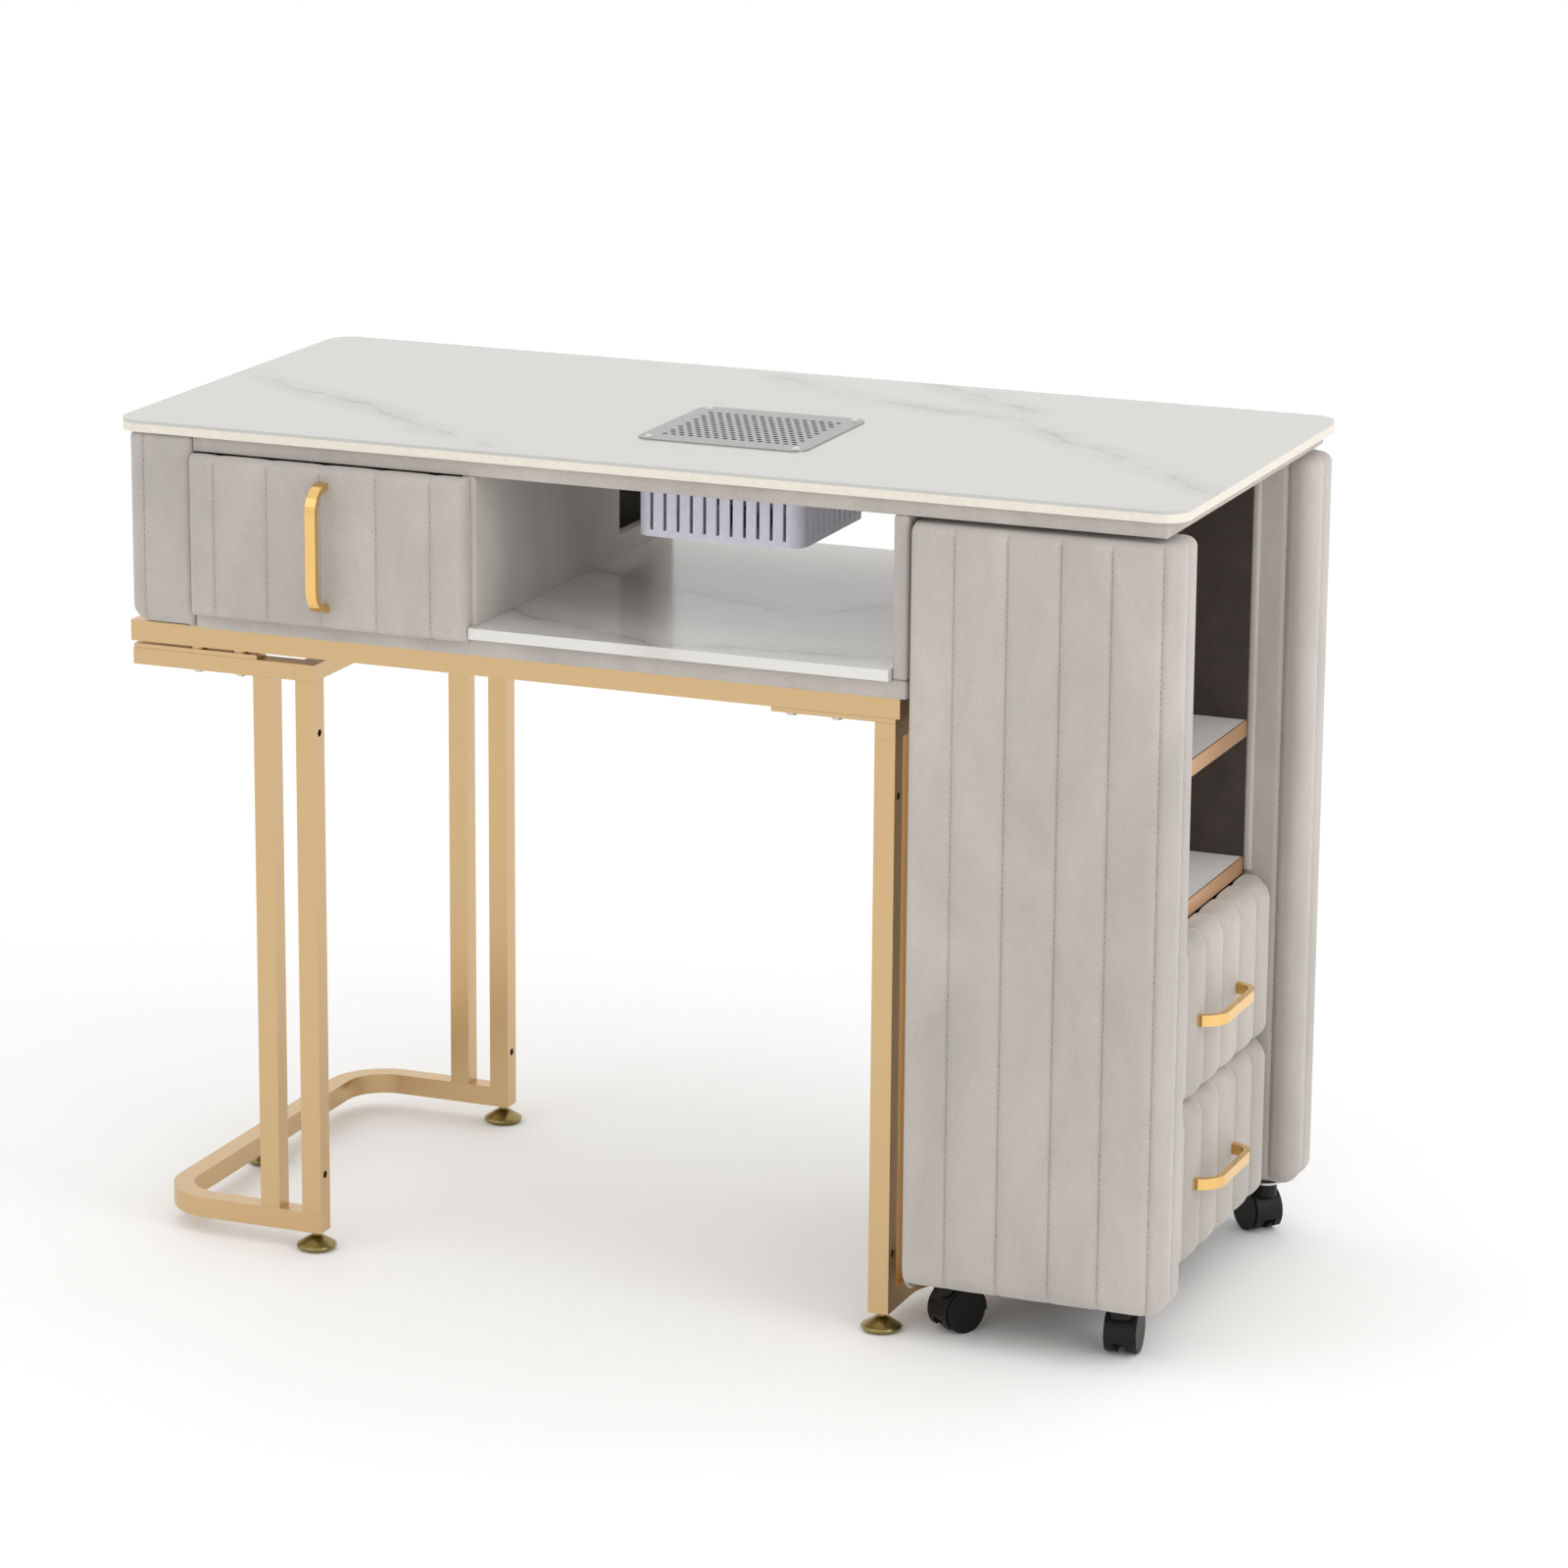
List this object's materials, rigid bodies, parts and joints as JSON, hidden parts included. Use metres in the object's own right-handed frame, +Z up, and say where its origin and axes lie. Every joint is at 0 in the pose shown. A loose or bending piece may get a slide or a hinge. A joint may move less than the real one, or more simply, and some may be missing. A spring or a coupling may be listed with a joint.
{
  "type": "manicure table",
  "caption": "Manicure table on a gold tube frame with a stone top, dust extractor, padded drawer, open bay and a rolling padded cabinet with shelves and drawers.",
  "frame": {"origin": "middle of the object's footprint, on the floor", "axes": "+X along the top towards the cabinet, +Y towards the back, away from the sitter, +Z up"},
  "size_m": [1, 0.4921, 0.7647],
  "materials": {
    "stone": "polished sintered stone with soft veins",
    "edge_board": "cream edged board",
    "velvet": "short pile velvet",
    "gold_paint": "satin champagne gold powder coat",
    "polished_gold": "polished gold plating",
    "antique_brass": "antique bronze plating",
    "dark_board": "dark brown laminate",
    "steel": "brushed",
    "zinc": "zinc plated",
    "lilac_plastic": "pale satin plastic",
    "motor": "dark",
    "rotor": "satin",
    "black_plastic": "moulded",
    "copper_band": "satin copper"
  },
  "bodies": {
    "desk": {"tabletop_stone": "stone", "tabletop_board": "edge_board", "under_top_panel": "velvet", "left_side_panel": "velvet", "desk_bottom_panel": "velvet", "bay_partition_left": "velvet", "bay_partition_right": "velvet", "drawer_bay_back": "velvet", "bay_shelf_plate": "stone", "desk_drawer_rails": "zinc", "upper_frame": "gold_paint", "left_leg_frame": "gold_paint", "right_leg_frame": "gold_paint", "leg_mount_plates": "gold_paint", "frame_bolts": "zinc", "grille_plate": "steel", "grille_screws": "zinc", "fan_housing": "lilac_plastic", "fan_motor": "motor"},
    "rotor": {"fan_rotor": "rotor"},
    "desk_drawer": {"desk_drawer_box": "dark_board", "desk_drawer_front": "velvet", "desk_drawer_handle": "polished_gold", "desk_drawer_runners": "zinc"},
    "cabinet": {"cabinet_front_side": "velvet", "cabinet_rear_side": "velvet", "cabinet_left_wall": "velvet", "cabinet_top_board": "velvet", "cabinet_inner_walls": "dark_board", "cabinet_shelves": "stone", "shelf_edge_bands": "copper_band", "cabinet_base_board": "dark_board", "cabinet_drawer_rails": "zinc", "caster_plates": "zinc"},
    "upper_drawer": {"upper_drawer_box": "dark_board", "upper_drawer_front": "velvet", "upper_drawer_handle": "polished_gold", "upper_drawer_runners": "zinc"},
    "lower_drawer": {"lower_drawer_box": "dark_board", "lower_drawer_front": "velvet", "lower_drawer_handle": "polished_gold", "lower_drawer_runners": "zinc"},
    "caster_1": {"caster_hood_1": "black_plastic"},
    "wheels_1": {"caster_wheels_1": "black_plastic"},
    "caster_2": {"caster_hood_2": "black_plastic"},
    "wheels_2": {"caster_wheels_2": "black_plastic"},
    "caster_3": {"caster_hood_3": "black_plastic"},
    "wheels_3": {"caster_wheels_3": "black_plastic"},
    "caster_4": {"caster_hood_4": "black_plastic"},
    "wheels_4": {"caster_wheels_4": "black_plastic"},
    "foot_1": {"levelling_foot_1": "antique_brass"},
    "foot_2": {"levelling_foot_2": "antique_brass"},
    "foot_3": {"levelling_foot_3": "antique_brass"},
    "foot_4": {"levelling_foot_4": "antique_brass"},
    "foot_5": {"levelling_foot_5": "antique_brass"},
    "foot_6": {"levelling_foot_6": "antique_brass"}
  },
  "joints": [
    {"name": "desk_drawer_slide", "type": "slide", "parent": "desk", "child": "desk_drawer", "axis": [0, -1, 0], "range_m": [0, 0.27]},
    {"name": "fan_spin", "type": "hinge", "parent": "desk", "child": "rotor", "pos_m": [0.039, -0.024, 0.7], "axis": [0, 0, 1], "continuous": true},
    {"name": "cabinet_roll_out", "type": "slide", "parent": "desk", "child": "cabinet", "axis": [1, 0, 0], "range_m": [0, 0.26]},
    {"name": "upper_drawer_slide", "type": "slide", "parent": "cabinet", "child": "upper_drawer", "axis": [1, 0, 0], "range_m": [0, 0.13]},
    {"name": "lower_drawer_slide", "type": "slide", "parent": "cabinet", "child": "lower_drawer", "axis": [1, 0, 0], "range_m": [0, 0.13]},
    {"name": "caster_1_swivel", "type": "hinge", "parent": "cabinet", "child": "caster_1", "pos_m": [0.287, -0.168, 0.045], "axis": [0, 0, 1], "continuous": true},
    {"name": "wheels_1_roll", "type": "hinge", "parent": "caster_1", "child": "wheels_1", "pos_m": [0.29388, -0.15817, 0.02], "axis": [-0.8192, 0.5736, 0], "continuous": true},
    {"name": "caster_2_swivel", "type": "hinge", "parent": "cabinet", "child": "caster_2", "pos_m": [0.449, -0.166, 0.045], "axis": [0, 0, 1], "continuous": true},
    {"name": "wheels_2_roll", "type": "hinge", "parent": "caster_2", "child": "wheels_2", "pos_m": [0.44775, -0.15407, 0.02], "axis": [-0.9945, -0.1045, 0], "continuous": true},
    {"name": "caster_3_swivel", "type": "hinge", "parent": "cabinet", "child": "caster_3", "pos_m": [0.464, 0.202, 0.045], "axis": [0, 0, 1], "continuous": true},
    {"name": "wheels_3_roll", "type": "hinge", "parent": "caster_3", "child": "wheels_3", "pos_m": [0.45481, 0.20971, 0.02], "axis": [-0.6428, -0.766, 0], "continuous": true},
    {"name": "caster_4_swivel", "type": "hinge", "parent": "cabinet", "child": "caster_4", "pos_m": [0.289, 0.202, 0.045], "axis": [0, 0, 1], "continuous": true},
    {"name": "wheels_4_roll", "type": "hinge", "parent": "caster_4", "child": "wheels_4", "pos_m": [0.283, 0.19161, 0.02], "axis": [0.866, -0.5, 0], "continuous": true},
    {"name": "foot_1_screw", "type": "slide", "parent": "desk", "child": "foot_1", "axis": [0, 0, -1], "range_m": [0, 0.01]},
    {"name": "foot_2_screw", "type": "slide", "parent": "desk", "child": "foot_2", "axis": [0, 0, -1], "range_m": [0, 0.01]},
    {"name": "foot_3_screw", "type": "slide", "parent": "desk", "child": "foot_3", "axis": [0, 0, -1], "range_m": [0, 0.01]},
    {"name": "foot_4_screw", "type": "slide", "parent": "desk", "child": "foot_4", "axis": [0, 0, -1], "range_m": [0, 0.01]},
    {"name": "foot_5_screw", "type": "slide", "parent": "desk", "child": "foot_5", "axis": [0, 0, -1], "range_m": [0, 0.01]},
    {"name": "foot_6_screw", "type": "slide", "parent": "desk", "child": "foot_6", "axis": [0, 0, -1], "range_m": [0, 0.01]}
  ]
}
